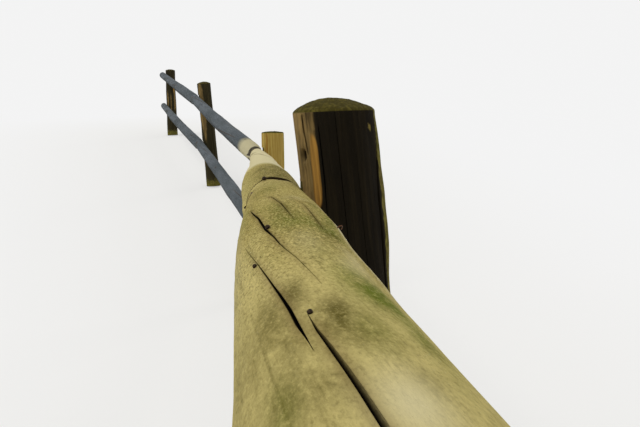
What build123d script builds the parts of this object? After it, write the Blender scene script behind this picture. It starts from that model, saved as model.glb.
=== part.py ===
from math import cos, pi, radians, sin, sqrt, tan
import os

from build123d import *

# Rustic round-log fence beside a woodland path, in millimetres
# The origin is the centre of the foot of the lowest post
# +X runs along the fence uphill, +Y points to the path, +Z is up
# The logs lie on the path side of the posts

# Line of the fence, one value for each bay from the low end
bay_lengths = [3000, 2820, 2690, 3350]
bay_turns = [0, -0.6, 12.8, 0]
bay_rises = [0, 0, 522, 572]

# Heights of the two rows of logs above the ground at each post
top_rail_height = 930
lower_rail_height = 450

# Posts, one value for each post from the low end
# A post tapers and bows between its joints and is straight where logs lie on it
# Leans are in degrees, and the feet can be cut level up to the steepest lean
# The crown is hewn in two bands, which meet at the dome's share of its height
post_foot_diameters = [168, 174, 156, 152, 156]
post_top_diameters = [156, 166, 146, 142, 146]
post_rises_above_rail = [185, 212, 155, 190, 100]
post_crown_heights = [14, 26, 6, 16, 12]
post_leans_to_path = [1.0, 3.5, -2.0, 2.0, -2.0]
post_leans_uphill = [0.5, -0.5, 1.0, -1.0, 0.5]
steepest_lean = 10
post_bows_to_path = [3, -3, 4, -3, 3]
post_edge_bevel = 7
dome_share = 0.75

# Sections along each log between its straight ends, counted from 0
log_sections = 7

# Logs of the top row, one value for each bay from the low end
top_butt_diameters = [150, 136, 120, 116]
top_tip_diameters = [118, 94, 98, 96]
top_bows_to_path = [6, -5, 8, -10]
top_bows_up = [-8, 4, -7, -9]
top_swell_sections = [5, 1, 3, 2]
top_swells = [3, 3, 3, 4]

# Logs of the lower row
lower_butt_diameters = [126, 120, 114, 112]
lower_tip_diameters = [102, 94, 96, 92]
lower_bows_to_path = [-8, 9, -7, 9]
lower_bows_up = [-6, 5, -8, -7]
lower_swell_sections = [2, 4, 2, 4]
lower_swells = [4, 4, 3, 4]

# Straight lengths on each side of a joint, of a log and of a post
log_straight_length = 110
post_straight_length = 80

# Joints: half laps over each post, and flats let into log and post
lap_length = 110
lap_gap = 3
flat_depth = 6
seat_depth = 9
seat_margin = 6
end_overhang = 120

# Extra length that the lapped ends are cut from
cut_allowance = 60

post_count = len(bay_lengths) + 1


def heading(bay):
    """Plan direction of a bay in degrees, turned to the left from +X."""
    return sum(bay_turns[: bay + 1])


def ground(post):
    """Height of the ground at a post."""
    return sum(bay_rises[:post])


def line_point(post):
    """Point of the top row's line over a post, in plan."""
    x = sum(bay_lengths[b] * cos(radians(heading(b))) for b in range(post))
    y = sum(bay_lengths[b] * sin(radians(heading(b))) for b in range(post))
    return Vector(x, y, 0)


def along(post):
    """Level direction of the fence at a post, halfway between its two bays."""
    before = heading(max(post - 1, 0))
    after = heading(min(post, post_count - 2))
    angle = radians((before + after) / 2)
    return Vector(cos(angle), sin(angle), 0)


def across(post):
    """Level direction from a post to the path."""
    return Vector(0, 0, 1).cross(along(post))


def post_height(post):
    return top_rail_height + post_rises_above_rail[post]


def post_radius(post, height):
    foot = post_foot_diameters[post] / 2
    top = post_top_diameters[post] / 2
    return foot + (top - foot) * height / top_rail_height


def post_axis(post):
    """Direction in which a post leans, scaled to one unit of height."""
    to_path = across(post) * tan(radians(post_leans_to_path[post]))
    uphill = along(post) * tan(radians(post_leans_uphill[post]))
    return Vector(0, 0, 1) + to_path + uphill


def joint_radii(post, butts, tips):
    """Radii of the logs that end or start at a post."""
    radii = []
    if post > 0:
        radii.append(tips[post - 1] / 2)
    if post < post_count - 1:
        radii.append(butts[post] / 2)
    return radii


def seat_offset(post, butts, tips):
    """Distance from a log's axis to the flat where it lies on the post."""
    return min(joint_radii(post, butts, tips)) - flat_depth


def axis_offset(post, height, butts, tips):
    """Level distance from a post's axis to the axis of its logs."""
    return post_radius(post, height) - seat_depth + seat_offset(post, butts, tips)


def foot_point(post):
    """Centre of a post's foot when the line of the top row starts at zero."""
    offset = axis_offset(post, top_rail_height, top_butt_diameters, top_tip_diameters)
    axis_at_rail = line_point(post) - across(post) * offset
    foot = axis_at_rail - post_axis(post) * top_rail_height
    return Vector(foot.X, foot.Y, ground(post))


def foot(post):
    """Centre of a post's foot in the part's own frame."""
    return foot_point(post) - foot_point(0)


def joint(post, height, butts, tips):
    """Point where the axes of the logs meet at a post."""
    on_axis = foot(post) + post_axis(post) * height
    return on_axis + across(post) * axis_offset(post, height, butts, tips)


def bay_direction(bay, height, butts, tips):
    start = joint(bay, height, butts, tips)
    end = joint(bay + 1, height, butts, tips)
    return (end - start).normalized()


def joint_plane(post, height, butts, tips):
    """Upright plane of a joint: x along the logs, y up, z away from the path."""
    before = bay_direction(max(post - 1, 0), height, butts, tips)
    after = bay_direction(min(post, post_count - 2), height, butts, tips)
    mean = (before + after).normalized()
    level = Vector(mean.X, mean.Y, 0).normalized()
    return Plane(
        origin=joint(post, height, butts, tips),
        x_dir=mean,
        z_dir=level.cross(Vector(0, 0, 1)),
    )


def build_post(post):
    """Round post with a crowned top, let in where the two logs lie on it."""
    lean = post_axis(post)
    axis = lean.normalized()
    level = (along(post) - axis * along(post).dot(axis)).normalized()
    base = foot(post)
    height = post_height(post) * lean.length
    lower = lower_rail_height * lean.length
    upper = top_rail_height * lean.length
    foot_radius = post_foot_diameters[post] / 2
    top_radius = post_top_diameters[post] / 2
    buried = foot_radius * tan(radians(steepest_lean))
    crown = post_crown_heights[post]
    rim = height - crown
    shoulder = rim - post_edge_bevel
    crown_half = top_radius - post_edge_bevel
    straight_parts = (
        (-buried, buried, foot_radius),
        (
            lower - post_straight_length,
            lower + post_straight_length,
            post_radius(post, lower_rail_height),
        ),
        (upper - post_straight_length, shoulder, top_radius),
    )
    with BuildPart() as body:
        for low, high, radius in straight_parts:
            with BuildSketch(Plane(origin=base + axis * low, x_dir=level, z_dir=axis)):
                Circle(radius)
            extrude(amount=high - low)
        for below, above in zip(straight_parts, straight_parts[1:]):
            low, low_radius = below[1:]
            high, high_radius = above[0], above[2]
            for share in (0, 0.5, 1):
                bow = across(post) * (post_bows_to_path[post] * sin(pi * share))
                centre = base + axis * (low + (high - low) * share) + bow
                with BuildSketch(Plane(origin=centre, x_dir=level, z_dir=axis)):
                    Circle(low_radius + (high_radius - low_radius) * share)
            loft(ruled=True)
        with BuildSketch(Plane(origin=base, x_dir=level, z_dir=level.cross(axis))):
            with BuildLine():
                Polyline(
                    (0, height),
                    (0, shoulder),
                    (top_radius, shoulder),
                    (crown_half, rim),
                    (crown_half / 2, rim + crown * dome_share),
                    (0, height),
                )
            make_face()
        revolve(axis=Axis(base, axis))
        split(bisect_by=Plane(base), keep=Keep.TOP)
        for row_height, butts, tips in (
            (top_rail_height, top_butt_diameters, top_tip_diameters),
            (lower_rail_height, lower_butt_diameters, lower_tip_diameters),
        ):
            flat = seat_offset(post, butts, tips)
            widest = max(joint_radii(post, butts, tips))
            half_height = sqrt(widest**2 - (flat - seat_depth) ** 2) + seat_margin
            with BuildSketch(joint_plane(post, row_height, butts, tips).offset(flat)):
                Rectangle(2 * post_foot_diameters[post], 2 * half_height)
            extrude(amount=-post_foot_diameters[post], mode=Mode.SUBTRACT)
    body.part.label = f"post_{post + 1}"
    return body.part


def build_log(name, bay, height, row):
    """Tapered log with lapped ends and flats where it lies on its two posts."""
    butts, tips, bows_to_path, bows_up, swell_sections, swells = row
    start = joint(bay, height, butts, tips)
    end = joint(bay + 1, height, butts, tips)
    span = (end - start).length
    ahead = (end - start).normalized()
    side = Vector(0, 0, 1).cross(ahead).normalized()
    above = ahead.cross(side)
    butt_radius = butts[bay] / 2
    tip_radius = tips[bay] / 2
    reach = lap_length / 2
    beyond = reach + 2 * cut_allowance
    thick = 2 * butts[bay]
    tapered = span - 2 * log_straight_length
    with BuildPart() as body:
        for post, centre, inward, radius in (
            (bay, start, 1, butt_radius),
            (bay + 1, end, -1, tip_radius),
        ):
            inner = centre + ahead * (inward * log_straight_length)
            lapped = 0 < post < post_count - 1
            outward = reach + cut_allowance if lapped else end_overhang
            with BuildSketch(Plane(origin=inner, x_dir=side, z_dir=ahead * -inward)):
                Circle(radius)
            extrude(amount=log_straight_length + outward)
            plane = joint_plane(post, height, butts, tips)
            if lapped:
                with BuildSketch(plane):
                    with Locations((-inward * ((reach + beyond) / 2 - lap_gap), 0)):
                        Rectangle(beyond - reach, thick)
                    with Locations((-inward * (beyond - reach) / 2, inward * thick / 4)):
                        Rectangle(beyond + reach, thick / 2)
                extrude(amount=thick / 2, both=True, mode=Mode.SUBTRACT)
            with BuildSketch(plane.offset(seat_offset(post, butts, tips))):
                Rectangle(post_foot_diameters[post], thick)
            extrude(amount=thick / 2, mode=Mode.SUBTRACT)
        for section in range(log_sections):
            share = section / (log_sections - 1)
            bow = sin(pi * share)
            centre = start + ahead * (log_straight_length + tapered * share)
            centre = centre + side * (bows_to_path[bay] * bow) + above * (bows_up[bay] * bow)
            taper = butt_radius + (tip_radius - butt_radius) * share
            swell = swells[bay] if section == swell_sections[bay] else 0
            with BuildSketch(Plane(origin=centre, x_dir=side, z_dir=ahead)):
                Circle(taper + swell)
        loft(ruled=True)
    body.part.label = name
    return body.part


os.makedirs("parts", exist_ok=True)

for post in range(post_count):
    piece = build_post(post)
    export_step(piece, f"parts/{piece.label}.step")

top_row = (
    top_butt_diameters,
    top_tip_diameters,
    top_bows_to_path,
    top_bows_up,
    top_swell_sections,
    top_swells,
)
lower_row = (
    lower_butt_diameters,
    lower_tip_diameters,
    lower_bows_to_path,
    lower_bows_up,
    lower_swell_sections,
    lower_swells,
)

for bay in range(post_count - 1):
    piece = build_log(f"top_rail_{bay + 1}", bay, top_rail_height, top_row)
    export_step(piece, f"parts/{piece.label}.step")
    piece = build_log(f"lower_rail_{bay + 1}", bay, lower_rail_height, lower_row)
    export_step(piece, f"parts/{piece.label}.step")
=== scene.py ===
import math
from collections import namedtuple

import bpy
import numpy as np
from mathutils import Matrix, Vector
from mathutils.bvhtree import BVHTree


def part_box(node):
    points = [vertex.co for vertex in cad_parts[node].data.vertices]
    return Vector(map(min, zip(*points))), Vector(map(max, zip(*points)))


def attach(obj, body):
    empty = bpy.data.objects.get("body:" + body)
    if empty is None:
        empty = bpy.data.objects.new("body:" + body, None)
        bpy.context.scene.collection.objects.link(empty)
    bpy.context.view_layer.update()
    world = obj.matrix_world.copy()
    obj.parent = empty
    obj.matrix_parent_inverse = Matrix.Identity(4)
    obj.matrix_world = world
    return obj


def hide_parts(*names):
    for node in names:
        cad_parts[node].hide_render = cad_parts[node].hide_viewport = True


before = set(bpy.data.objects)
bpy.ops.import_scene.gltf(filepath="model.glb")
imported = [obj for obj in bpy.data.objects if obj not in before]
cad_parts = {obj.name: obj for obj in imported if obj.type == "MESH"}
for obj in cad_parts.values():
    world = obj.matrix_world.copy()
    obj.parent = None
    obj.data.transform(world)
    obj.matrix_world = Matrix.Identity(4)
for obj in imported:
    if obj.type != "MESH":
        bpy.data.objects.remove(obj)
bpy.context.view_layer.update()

# Rustic round-log fence, in metres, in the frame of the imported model
# Each log and post is a fine mesh round the line that is measured on its CAD
# node, cut to the same laps, flats and seats

BAYS = 4
POSTS = BAYS + 1
ROWS = ("top", "lower")

# Joints, as in the source, but with less room over and under the logs' seats
LAP = 0.110
LAP_GAP = 0.003
LAP_BACK = LAP / 2 - LAP_GAP
END_OVERHANG = 0.120
SEAT_DEPTH = 0.009
SEAT_MARGIN = 0.002


# Noise and curves

def lattice_noise(points, seed):
    """Smooth noise from -1 to 1 at points, an array of three columns."""
    cell = np.floor(points).astype(np.int64)
    part = points - cell
    fade = part * part * part * (part * (part * 6 - 15) + 10)
    total = np.zeros(len(points))
    for corner in range(8):
        step = np.array([corner & 1, corner >> 1 & 1, corner >> 2 & 1])
        at = (cell + step).astype(np.uint64)
        h = at[:, 0] * np.uint64(73856093)
        h ^= at[:, 1] * np.uint64(19349663)
        h ^= at[:, 2] * np.uint64(83492791)
        h ^= np.uint64(seed * 2654435761 % 2**32)
        h = (h ^ (h >> np.uint64(15))) * np.uint64(2246822519)
        h = (h ^ (h >> np.uint64(13))) * np.uint64(3266489917)
        value = ((h ^ (h >> np.uint64(16))) & np.uint64(65535)).astype(float)
        weight = np.prod(np.where(step, fade, 1 - fade), axis=1)
        total += weight * (value / 32767.5 - 1)
    return total


def layered(points, seed, layers=3):
    """Noise with finer layers, each half as strong as the one before."""
    total, size = np.zeros(len(points)), 0
    for k in range(layers):
        total += lattice_noise(points * 2**k + 17.3 * k, seed + k) / 2**k
        size += 1 / 2**k
    return total / size


def smooth_through(known, values, at):
    """Cubic curve through values at the known places, level past their ends."""
    known, values = np.asarray(known, float), np.asarray(values, float)
    at = np.clip(at, known[0], known[-1])
    slope = np.gradient(values, known)
    k = np.clip(np.searchsorted(known, at) - 1, 0, len(known) - 2)
    gap = known[k + 1] - known[k]
    t = (at - known[k]) / gap
    a, b = values[k], values[k + 1]
    c, d = slope[k] * gap, slope[k + 1] * gap
    return (
        (2 * t**3 - 3 * t**2 + 1) * a
        + (t**3 - 2 * t**2 + t) * c
        + (3 * t**2 - 2 * t**3) * b
        + (t**3 - t**2) * d
    )


def turn_between(a, b):
    """Signed turn from b to a in degrees, the short way round."""
    return (a - b + 180) % 360 - 180


def rise(x, start, length, most=1):
    """From 0 up to 1 over a length from a start, or down over a negative length."""
    return np.clip((x - start) / length, 0, most)


def bell(x, reach):
    """One at zero, and fading away past the reach."""
    return np.exp(-((x / reach) ** 2))


def matrix_of(axes, origin):
    """Matrix that has three axes as its columns and stands at an origin."""
    m = Matrix.Identity(4)
    for i, axis in enumerate((*axes, origin)):
        m.col[i][:3] = axis
    return m


# Lines of the CAD solids

# Numbers of cross-sections, of rays in each and of rounds of fitting, and how far
# under the circle a point lies when it is taken to be on a flat
SECTIONS, RAYS, ROUNDS = 25, 48, 3
FLAT_OFF = -0.0015

# Heights of the rays that find the flats at a joint, on either side of the lap's
# step, and the least depth at which a flat can lie
RAY_HEIGHTS, LEAST_FLAT = (0.012, -0.012), 0.03


def cross_frame(ahead, upright):
    """Level side direction and the one above it, across a log or post."""
    side = np.cross([0, 1, 0] if upright else [0, 0, 1], ahead)
    side /= np.linalg.norm(side)
    return side, np.cross(ahead, side)


def fit_circle(hits):
    """Centre and radius of a circle through points, without those that lie on flats."""
    for _ in range(4):
        rows = np.c_[2 * hits, np.ones(len(hits))]
        found = np.linalg.lstsq(rows, (hits**2).sum(1), rcond=None)[0]
        radius = math.sqrt(found[2] + found[:2] @ found[:2])
        off = np.hypot(*(hits - found[:2]).T) - radius
        keep = off > FLAT_OFF
        if keep.all() or keep.sum() < 12:
            break
        hits = hits[keep]
    return found[:2], radius


class Line:
    """Axis frame, centre line and radius of a round CAD solid along its length."""

    def __init__(self, node, upright):
        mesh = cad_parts[node].data
        corners = np.array([v.co for v in mesh.vertices], float)
        faces = [tuple(p.vertices) for p in mesh.polygons]
        self.tree = BVHTree.FromPolygons([Vector(c) for c in corners], faces)
        middle = (corners.min(0) + corners.max(0)) / 2
        ahead = np.linalg.svd(corners - corners.mean(0), full_matrices=False)[2][0]
        if ahead[2 if upright else 0] < 0:
            ahead = -ahead
        # a few rounds of fitting bring the axis onto the real centre line
        for _ in range(ROUNDS):
            middle, ahead, table = self.fit(corners, middle, ahead, upright)
        side, above = cross_frame(ahead, upright)
        reach = (corners - middle) @ ahead
        self.ahead, self.side, self.above = Vector(ahead), Vector(side), Vector(above)
        self.low, self.high = reach.min(), reach.max()
        self.origin = Vector(middle)
        self.table = table

    def fit(self, corners, middle, ahead, upright):
        """One round: circles in cross-sections, and the axis through their centres."""
        reach = (corners - middle) @ ahead
        low, high = reach.min(), reach.max()
        side, above = cross_frame(ahead, upright)
        ends = (0.04, 0.86) if upright else (0.045, 0.955)
        table = []
        for share in np.linspace(*ends, SECTIONS):
            s = low + (high - low) * share
            centre = np.zeros(2)
            for _ in range(ROUNDS):
                hits = []
                start = middle + ahead * s + side * centre[0] + above * centre[1]
                for turn in np.linspace(0, 2 * math.pi, RAYS, endpoint=False):
                    way = side * math.cos(turn) + above * math.sin(turn)
                    hit = self.tree.ray_cast(Vector(start), Vector(way), 0.2)[0]
                    if hit:
                        away = np.array(hit) - middle
                        hits.append((away @ side, away @ above))
                centre, radius = fit_circle(np.array(hits))
            table.append((s, centre[0], centre[1], radius))
        table = np.array(table)
        points = middle + table[:, :1] * ahead + table[:, 1:2] * side + table[:, 2:3] * above
        first, last = points[:3].mean(0), points[-3:].mean(0)
        ahead = (last - first) / np.linalg.norm(last - first)
        middle = points.mean(0)
        side, above = cross_frame(ahead, upright)
        off = points - middle
        return middle, ahead, np.c_[off @ ahead, off @ side, off @ above, table[:, 3]]

    def shift(self, start):
        """Moves the zero of the length to a place along the axis."""
        self.origin = self.origin + self.ahead * start
        self.table[:, 0] -= start
        self.low -= start
        self.high -= start

    def at(self, s):
        """Side offset, height offset and radius at lengths s, smooth and extended."""
        s = np.asarray(s, float)
        known, out = self.table[:, 0], []
        for values in self.table[:, 1:].T:
            slopes = np.diff(values) / np.diff(known)
            inner = smooth_through(known, values, s) + np.minimum(s - known[0], 0) * slopes[0]
            out.append(inner + np.maximum(s - known[-1], 0) * slopes[-1])
        return out

    def radius(self, s):
        return float(self.at([s])[2][0])

    def mean_radius(self):
        return float(self.table[:, 3].mean())

    def matrix(self):
        return matrix_of((self.ahead, self.side, self.above), self.origin)

    def point(self, s):
        side, above, _ = self.at([s])
        return self.origin + self.ahead * s + self.side * side[0] + self.above * above[0]


rails = {}
for row in ROWS:
    for bay in range(BAYS):
        line = Line(f"{row}_rail_{bay + 1}", upright=False)
        line.shift(line.low + (END_OVERHANG if bay == 0 else LAP_BACK))
        line.span = line.high - (END_OVERHANG if bay == BAYS - 1 else LAP_BACK)
        rails[row, bay] = line
posts = [Line(f"post_{i + 1}", upright=True) for i in range(POSTS)]
for line in posts:
    line.shift(line.low)


def inner_post(post):
    return 0 < post < BAYS


def foot_height(post):
    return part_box(f"post_{post + 1}")[0].z


class Joint:
    """Where the logs of a row meet at a post: x along the logs, y to the path, z up."""

    def __init__(self, row, post):
        before, after = rails[row, max(post - 1, 0)], rails[row, min(post, BAYS - 1)]
        meeting = []
        if post > 0:
            meeting.append((before, before.span))
        if post < BAYS:
            meeting.append((after, 0.0))
        self.at = sum((line.point(s) for line, s in meeting), Vector()) / len(meeting)
        self.ahead = (before.ahead + after.ahead).normalized()
        level = Vector((self.ahead.x, self.ahead.y, 0)).normalized()
        self.away = level.cross(Vector((0, 0, 1)))
        self.up = self.away.cross(self.ahead)
        self.reach = [line.radius(s) for line, s in meeting]
        found = []
        for line in (before, after):
            for height in RAY_HEIGHTS:
                hit = line.tree.ray_cast(self.at + self.up * height, self.away, 0.15)
                if hit[0] and hit[3] > LEAST_FLAT:
                    found.append(hit[3])
        self.flat = min(found)

    def matrix(self):
        return matrix_of((self.ahead, -self.away, self.up), self.at)

    def log_face(self, z):
        """Distance to the logs' surface on the path side, at a height over the joint."""
        radius = self.reach[0] if z >= 0 or len(self.reach) == 1 else self.reach[1]
        return math.sqrt(radius**2 - z**2)


joints = {(row, post): Joint(row, post) for row in ROWS for post in range(POSTS)}


# Meshes of the logs

class Check:
    """A drying crack: its path in lengths and turns, its widths and its depth."""

    def __init__(self, path, widths, depth, base=None):
        path = np.array(path, float)
        self.s, self.phi = path[:, 0], path[:, 1]
        self.widths = np.array(widths, float)
        self.depth = depth
        self.base = float(self.phi.mean()) if base is None else base
        # the plain columns beside the crack stand clear of its edges
        self.outer = max(0.0026, self.widths.max() / 2 + 0.0014)

    def drift(self, s):
        """How far the crack's turn is from its base, fading out past its ends."""
        off = np.interp(s, self.s, self.phi) - self.base
        past = np.maximum(self.s[0] - s, 0) + np.maximum(s - self.s[-1], 0)
        return off * bell(past, 0.12)

    def width(self, s):
        """Width of the crack at lengths s, and zero past its ends."""
        open_width = np.interp(s, self.s, self.widths)
        ends = np.clip(np.minimum(s - self.s[0], self.s[-1] - s) / 0.012, 0, 1)
        return open_width * np.sqrt(ends)


# A knot or hole, with its half length, half width and depth, and how dark it is painted:
# the knot's own dark wood, with painted shade in the hole
Pit = namedtuple("Pit", "at angle length width depth dark", defaults=[1.0])

# Columns of the mesh in a check: shares of the crack's width, with how deep each lies
# and how much painted shade darkens it. Columns and rows of a pit: shares of its half width and length
INNER = {
    -2: (-0.5, 0.0, 0.25),
    -1: (-0.27, 0.8, 1.0),
    0: (0.0, 1.0, 1.0),
    1: (0.27, 0.8, 1.0),
    2: (0.5, 0.0, 0.25),
}
PIT_COLUMNS = (-1.4, -0.8, -0.35, 0.0, 0.35, 0.8, 1.4)
PIT_ROWS = np.array([-1.6, -1, -0.6, -0.25, 0, 0.25, 0.6, 1, 1.6])

# Widths in millimetres from which a crack is all dark with painted shade, or stains the
# wood beside it as far as the reach, and the length over which a level cut tilts a post's end
DARK_FROM, STAIN_FROM, STAIN_REACH = 1.7, 1.5, 4.5
TILTED = 0.15

# Share of a pit's size at which its edge lies, and how steep the edge is
PIT_EDGE, PIT_STEEP = 0.75, 9


def drift_between(phi, checks, s):
    """Drift of every column at every length: that of the nearest checks."""
    half, gone = 2.4, 9.0
    ordered = sorted(checks, key=lambda c: c.base % 360)
    nodes, values = [], []
    for i, check in enumerate(ordered):
        base = check.base % 360
        nodes += [base - half, base + half]
        values += [check.drift(s)] * 2
        last = i + 1 == len(ordered)
        after = ordered[(i + 1) % len(ordered)].base % 360 + (360 if last else 0)
        if after - base > 2 * (half + gone):
            nodes += [base + half + gone, after - half - gone]
            values += [0 * s] * 2
    return np.array([np.interp(phi, nodes, row, period=360) for row in np.array(values).T])


class Log:
    """Fine mesh round a measured line, with grain that turns along it."""

    def __init__(self, name, line, ends, rows, columns, twist, seed, checks, pits, relief, shapes=(),
                 level_top=False):
        self.name, self.line, self.twist, self.seed = name, line, twist, seed
        self.checks, self.pits, self.relief = list(checks), list(pits), relief
        s = self.lengths(rows, *ends)
        side, above, radius = line.at(s)
        self.mean_radius = float(radius.mean())
        kinds = self.columns(columns)
        n, m = len(s), len(kinds)
        base = np.array([turn for turn, _, _ in kinds])
        S = np.repeat(s[:, None], m, 1)
        P = base + drift_between(base, self.checks, s)
        per_mm = 0.001 / radius * 180 / math.pi
        groove, dark = self.open_checks(kinds, s, P, per_mm)
        theta = turn_between(P - twist * S, 0)
        stain = self.check_stain(s, P, per_mm)
        turn = np.radians(P)
        flat = np.stack([S, np.cos(turn) * self.mean_radius, np.sin(turn) * self.mean_radius], -1)
        height = self.surface(flat.reshape(-1, 3)).reshape(n, m)
        for pit in self.pits:
            arc = turn_between(theta, pit.angle) / per_mm[:, None] / 1000
            d = np.hypot((S - pit.at) / pit.length, arc / pit.width)
            hole = 1 / (1 + np.exp(np.clip((d - PIT_EDGE) * PIT_STEEP, -50, 50)))
            groove = np.maximum(groove, pit.depth * hole)
            height += 0.12 * pit.depth * bell(d - 1.5, 0.6)
            # painted shade in a pit's hole, with a knot's own dark colour
            dark = np.maximum(dark, pit.dark * hole)
            stain = np.maximum(stain, 0.8 * pit.dark * bell(d, 2.2))
        R = radius[:, None] + sum(shape(S, theta) for shape in shapes) + height - groove
        t = np.radians(theta)
        across, up = -R * np.sin(t), R * np.cos(t)
        # a level cut across a leaning post tilts its last stretch
        self.tilt = np.zeros(2)
        if level_top:
            self.tilt = -np.array([line.side.z, line.above.z]) / line.ahead.z
        share = rise(S, ends[1] - TILTED, TILTED) ** 2
        X = S + share * (self.tilt[0] * across + self.tilt[1] * up)
        co = np.stack([X, side[:, None] + across, above[:, None] + up], -1)
        self.S, self.theta, self.n, self.m = S, theta, n, m
        self.side, self.above = side, above
        self.co, self.count = [co.reshape(-1, 3)], n * m
        self.fields = {"dark": [dark.ravel()], "stain": [stain.ravel()]}
        self.idx = np.arange(n * m).reshape(n, m)
        right = np.roll(self.idx, -1, axis=1)
        sides = [self.idx[:-1], right[:-1], right[1:], self.idx[1:]]
        self.quads, self.tris = [np.stack(sides, -1).reshape(-1, 4)], []
        self.quad_kind, self.tri_kind = [np.zeros(len(self.quads[0]), int)], []

    def open_checks(self, kinds, s, P, per_mm):
        """Sets the turns of the cracks' columns in P. Gives each point's depth and painted shade."""
        groove, dark = np.zeros(P.shape), np.zeros(P.shape)
        for j, (_, check, place) in enumerate(kinds):
            if check is None:
                continue
            width = check.width(s) * 1000
            off, deep, black = INNER[place]
            P[:, j] = check.base + check.drift(s) + per_mm * np.maximum(width, 0.5) * off
            most = float(check.widths.max()) * 1000
            groove[:, j] = check.depth * deep * (width / most) ** 0.7
            dark[:, j] = black * np.clip(width / DARK_FROM, 0, 1)
        return groove, dark

    def check_stain(self, s, P, per_mm):
        """Share of stained wood beside the open stretches of the cracks."""
        stain = np.zeros(P.shape)
        for check in self.checks:
            apart = turn_between(P, (check.base + check.drift(s))[:, None])
            arc = np.abs(apart) / per_mm[:, None]
            active = np.clip(check.width(s) * 1000 / STAIN_FROM, 0, 1)[:, None]
            stain = np.maximum(stain, active * bell(arc, STAIN_REACH))
        return stain

    def lengths(self, rows, low, high):
        """Places of the rows, closer together at the pits."""
        extra = [pit.at + pit.length * PIT_ROWS for pit in self.pits]
        s = np.unique(np.round(np.concatenate([rows, *extra]), 5))
        s = s[(s > low) & (s < high)]
        keep = np.ones(len(s), bool)
        keep[1:] = np.diff(s) >= 0.0004
        return np.concatenate([[low], s[keep], [high]])

    def columns(self, plain):
        """Turns of the columns in order, each with its check and place in it."""
        degree = 180 / math.pi / self.mean_radius
        phi = np.sort(np.asarray(plain, float) % 360)
        kinds = []
        for check in self.checks:
            phi = phi[np.abs(turn_between(phi, check.base)) > (check.outer + 0.0004) * degree]
            beside = [check.base + side * check.outer * degree for side in (-1, 1)]
            kinds += [(turn % 360, None, 0) for turn in beside]
            kinds += [((check.base + 0.5 * o * 0.001 * degree) % 360, check, o) for o in INNER]
        bases = [check.base for check in self.checks]
        for pit in self.pits:
            turn = pit.angle + self.twist * pit.at
            if all(abs(turn_between(turn, b)) > 0.0055 * degree for b in bases):
                phi = phi[np.abs(turn_between(phi, turn)) > 1.7 * pit.width * degree]
                kinds += [((turn + o * pit.width * degree) % 360, None, 0) for o in PIT_COLUMNS]
                bases.append(turn)
        kinds += [(turn, None, 0) for turn in phi]
        return sorted(kinds, key=lambda kind: kind[0])

    def surface(self, flat):
        """Relief of the wood in metres, at points round a straight log."""
        wide = layered(flat / [0.33, 0.085, 0.085], self.seed, 2) * 0.0021
        middle = layered(flat / [0.075, 0.030, 0.030], self.seed + 11, 2) * 0.0007
        fibre = layered(flat / [0.045, 0.0042, 0.0042], self.seed + 23, 2) * 0.00028
        return (wide + middle + fibre) * self.relief

    def cap(self, high, height, rings=(0.965, 0.90, 0.8, 0.66, 0.5, 0.34, 0.18)):
        """Closes an end. height gives how far each ring stands out past the rim."""
        row = -1 if high else 0
        sign = 1 if high else -1
        rim = self.idx[row]
        co = self.co[0][rim]
        centre = np.array([co[:, 0].mean(), self.side[row], self.above[row]])
        dark_rim = self.fields["dark"][0][rim]
        before = rim
        for share in rings:
            ring = centre + (co - centre) * share
            off = ring[:, 1:] - centre[1:]
            ring[:, 0] = centre[0] + sign * height(np.full(len(rim), share), off)
            if high:
                ring[:, 0] += off @ self.tilt
            now = np.arange(self.count, self.count + len(rim))
            # the cracks' painted shade runs on into the end
            self.add(ring, dark_rim * max(0, share - 0.35) * 0.8)
            quads = np.stack([before, np.roll(before, -1), np.roll(now, -1), now], -1)
            self.quads.append(quads if high else quads[:, ::-1])
            self.quad_kind.append(np.ones(len(quads), int))
            before = now
        centre[0] += sign * float(height(np.zeros(1), np.zeros((1, 2)))[0])
        tris = np.stack([before, np.roll(before, -1), np.full(len(rim), self.count)], -1)
        self.add(centre[None], np.zeros(1))
        self.tris.append(tris if high else tris[:, ::-1])
        self.tri_kind.append(np.ones(len(tris), int))

    def add(self, points, dark):
        self.co.append(points)
        self.fields["dark"].append(dark)
        self.fields["stain"].append(np.zeros(len(points)))
        self.count += len(points)

    def build(self, materials):
        """Makes the object, at its own place, with its fields as attributes."""
        mesh = bpy.data.meshes.new(self.name)
        faces = np.concatenate(self.quads).tolist() + np.concatenate(self.tris).tolist()
        kinds = np.concatenate(self.quad_kind + self.tri_kind).astype(np.int32)
        mesh.from_pydata(np.concatenate(self.co).tolist(), [], faces)
        mesh.polygons.foreach_set("material_index", kinds)
        mesh.polygons.foreach_set("use_smooth", np.ones(len(kinds), bool))
        for material in materials:
            mesh.materials.append(material)
        for name, parts in self.fields.items():
            layer = mesh.attributes.new(name, "FLOAT", "POINT")
            values = np.zeros(self.count, np.float32)
            joined = np.concatenate(parts)
            values[: len(joined)] = joined
            layer.data.foreach_set("value", values)
        mesh.update()
        mesh.set_sharp_from_angle(angle=math.radians(38))
        return place(mesh, self.line.matrix())

    def patches(self, spots):
        """Sum of soft patches, each with place, angle, two reaches and amount."""
        total = np.zeros((self.n, self.m))
        for s, angle, along, around, amount in spots:
            total += amount * bell(self.S - s, along) * bell(turn_between(self.theta, angle), around)
        return np.clip(total, 0, 1)

    def band(self, low, high, soft):
        """Strip between two angles, with soft sides."""
        inside = 1 / (1 + np.exp(-(self.theta - low) / soft))
        return inside / (1 + np.exp((self.theta - high) / soft))

    def paint(self, name, values):
        """Keeps a field on the log. Its caps take none of it."""
        self.fields[name] = [values.ravel()]


def place(data, matrix=None):
    """Puts a mesh, curve, lamp or camera in the scene as an object of its own."""
    obj = bpy.data.objects.new(data.name, data)
    if matrix is not None:
        obj.matrix_world = matrix
    bpy.context.scene.collection.objects.link(obj)
    return obj


# Cuts

# Material places of a piece's cut faces: pale saw cuts, and dark ones inside a joint, darkened for dirty end
# grain and the painted shade in the joint's gap
SAWN, LAPPED = 1, 2


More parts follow.
